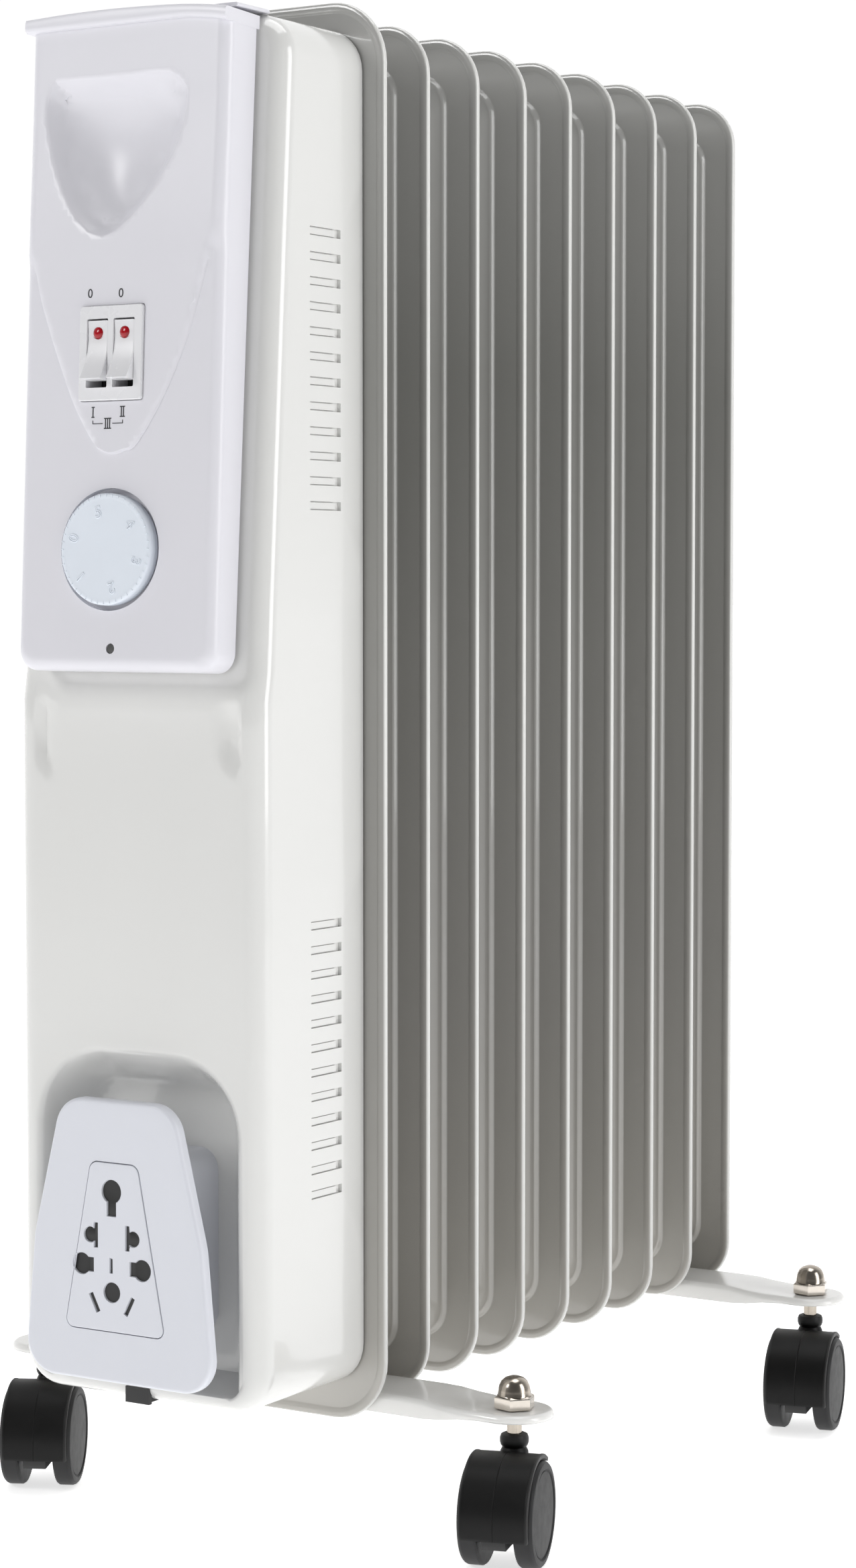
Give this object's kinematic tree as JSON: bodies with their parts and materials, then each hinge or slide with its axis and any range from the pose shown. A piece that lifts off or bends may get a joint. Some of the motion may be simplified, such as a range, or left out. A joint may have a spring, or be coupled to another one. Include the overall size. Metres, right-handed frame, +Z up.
{
  "type": "oil filled radiator heater",
  "caption": "Oil filled radiator with a row of steel fins, a front cover with rocker switches, thermostat dial, cord winder plate, two foot bars and twin-wheel casters.",
  "frame": {"origin": "centre of the bounding box at floor level", "axes": "+Z up, +X to the right when facing the control panel from the front, the control panel faces -Y and the fins are stacked along +Y"},
  "size_m": [0.2882, 0.4173, 0.641],
  "materials": {
    "fin_paint": "gloss",
    "cover_paint": "gloss",
    "bar_paint": "gloss",
    "panel_plastic": "gloss",
    "winder_plastic": "gloss",
    "dial_plastic": "satin",
    "black_plastic": "matte",
    "wheel_plastic": "matte",
    "lens_red": "gloss",
    "pilot_grey": "gloss",
    "bright_steel": "polished",
    "zinc_steel": "satin",
    "brass": "satin",
    "heater_sheath": "satin",
    "gasket_rubber": "matte",
    "wire_sleeve": "satin",
    "ceramic": "matte"
  },
  "bodies": {
    "heater": {"fin_1": "fin_paint", "fin_2": "fin_paint", "fin_3": "fin_paint", "fin_4": "fin_paint", "fin_5": "fin_paint", "fin_6": "fin_paint", "fin_7": "fin_paint", "fin_8": "fin_paint", "fin_9": "fin_paint", "collars_lower": "fin_paint", "collars_upper": "fin_paint", "heater_flange": "brass", "heater_gasket": "gasket_rubber", "heater_loops": "heater_sheath", "filler_plug": "zinc_steel", "front_cover": "cover_paint", "cover_rivets": "zinc_steel", "wiring_plate": "zinc_steel", "plate_spacers": "zinc_steel", "terminal_block": "ceramic", "thermal_cutout": "zinc_steel", "tip_switch": "black_plastic", "wiring": "wire_sleeve", "cord_gland": "black_plastic", "control_panel": "panel_plastic", "switch_bezel": "panel_plastic", "switch_bodies": "black_plastic", "thermostat": "ceramic", "pilot_window": "pilot_grey", "winder_plate": "winder_plastic", "socket_insert": "winder_plastic", "socket_contacts": "brass", "foot_bar_front": "bar_paint", "foot_bar_rear": "bar_paint", "u_bolts": "zinc_steel", "wing_nuts": "zinc_steel", "acorn_nuts": "bright_steel", "caster_stems": "bright_steel"},
    "caster_fl": {"hood_fl": "black_plastic", "axles_fl": "zinc_steel"},
    "wheel_fl_a": {"wheel_fl_a": "wheel_plastic"},
    "wheel_fl_b": {"wheel_fl_b": "wheel_plastic"},
    "caster_fr": {"hood_fr": "black_plastic", "axles_fr": "zinc_steel"},
    "wheel_fr_a": {"wheel_fr_a": "wheel_plastic"},
    "wheel_fr_b": {"wheel_fr_b": "wheel_plastic"},
    "caster_rl": {"hood_rl": "black_plastic", "axles_rl": "zinc_steel"},
    "wheel_rl_a": {"wheel_rl_a": "wheel_plastic"},
    "wheel_rl_b": {"wheel_rl_b": "wheel_plastic"},
    "caster_rr": {"hood_rr": "black_plastic", "axles_rr": "zinc_steel"},
    "wheel_rr_a": {"wheel_rr_a": "wheel_plastic"},
    "wheel_rr_b": {"wheel_rr_b": "wheel_plastic"},
    "rocker_left": {"rocker_left": "panel_plastic", "lens_left": "lens_red"},
    "rocker_right": {"rocker_right": "panel_plastic", "lens_right": "lens_red"},
    "dial": {"dial": "dial_plastic", "dial_shaft": "zinc_steel"}
  },
  "joints": [
    {"name": "swivel_fl", "type": "hinge", "parent": "heater", "child": "caster_fl", "pos_m": [-0.1225, -0.09625, 0.045], "axis": [0, 0, 1], "continuous": true},
    {"name": "roll_fl_a", "type": "hinge", "parent": "caster_fl", "child": "wheel_fl_a", "pos_m": [-0.1166, -0.10783, 0.022], "axis": [0.891, 0.454, 0], "continuous": true},
    {"name": "roll_fl_b", "type": "hinge", "parent": "caster_fl", "child": "wheel_fl_b", "pos_m": [-0.1166, -0.10783, 0.022], "axis": [0.891, 0.454, 0], "continuous": true},
    {"name": "swivel_fr", "type": "hinge", "parent": "heater", "child": "caster_fr", "pos_m": [0.1225, -0.09625, 0.045], "axis": [0, 0, 1], "continuous": true},
    {"name": "roll_fr_a", "type": "hinge", "parent": "caster_fr", "child": "wheel_fr_a", "pos_m": [0.1263, -0.10868, 0.022], "axis": [0.9563, 0.2924, 0], "continuous": true},
    {"name": "roll_fr_b", "type": "hinge", "parent": "caster_fr", "child": "wheel_fr_b", "pos_m": [0.1263, -0.10868, 0.022], "axis": [0.9563, 0.2924, 0], "continuous": true},
    {"name": "swivel_rl", "type": "hinge", "parent": "heater", "child": "caster_rl", "pos_m": [-0.1225, 0.18025, 0.045], "axis": [0, 0, 1], "continuous": true},
    {"name": "roll_rl_a", "type": "hinge", "parent": "caster_rl", "child": "wheel_rl_a", "pos_m": [-0.12069, 0.16738, 0.022], "axis": [0.9903, 0.1392, 0], "continuous": true},
    {"name": "roll_rl_b", "type": "hinge", "parent": "caster_rl", "child": "wheel_rl_b", "pos_m": [-0.12069, 0.16738, 0.022], "axis": [0.9903, 0.1392, 0], "continuous": true},
    {"name": "swivel_rr", "type": "hinge", "parent": "heater", "child": "caster_rr", "pos_m": [0.1225, 0.18025, 0.045], "axis": [0, 0, 1], "continuous": true},
    {"name": "roll_rr_a", "type": "hinge", "parent": "caster_rr", "child": "wheel_rr_a", "pos_m": [0.12587, 0.16769, 0.022], "axis": [0.9659, 0.2588, 0], "continuous": true},
    {"name": "roll_rr_b", "type": "hinge", "parent": "caster_rr", "child": "wheel_rr_b", "pos_m": [0.12587, 0.16769, 0.022], "axis": [0.9659, 0.2588, 0], "continuous": true},
    {"name": "rocker_left_tilt", "type": "hinge", "parent": "heater", "child": "rocker_left", "pos_m": [-0.00915, -0.19943, 0.49459], "axis": [1, 0, 0], "range_deg": [0, 24]},
    {"name": "rocker_right_tilt", "type": "hinge", "parent": "heater", "child": "rocker_right", "pos_m": [0.00415, -0.19943, 0.49459], "axis": [1, 0, 0], "range_deg": [0, 24]},
    {"name": "dial_turn", "type": "hinge", "parent": "heater", "child": "dial", "pos_m": [-0.0025, -0.20436, 0.41624], "axis": [0, -0.9987, 0.0501], "range_deg": [0, 300]}
  ]
}
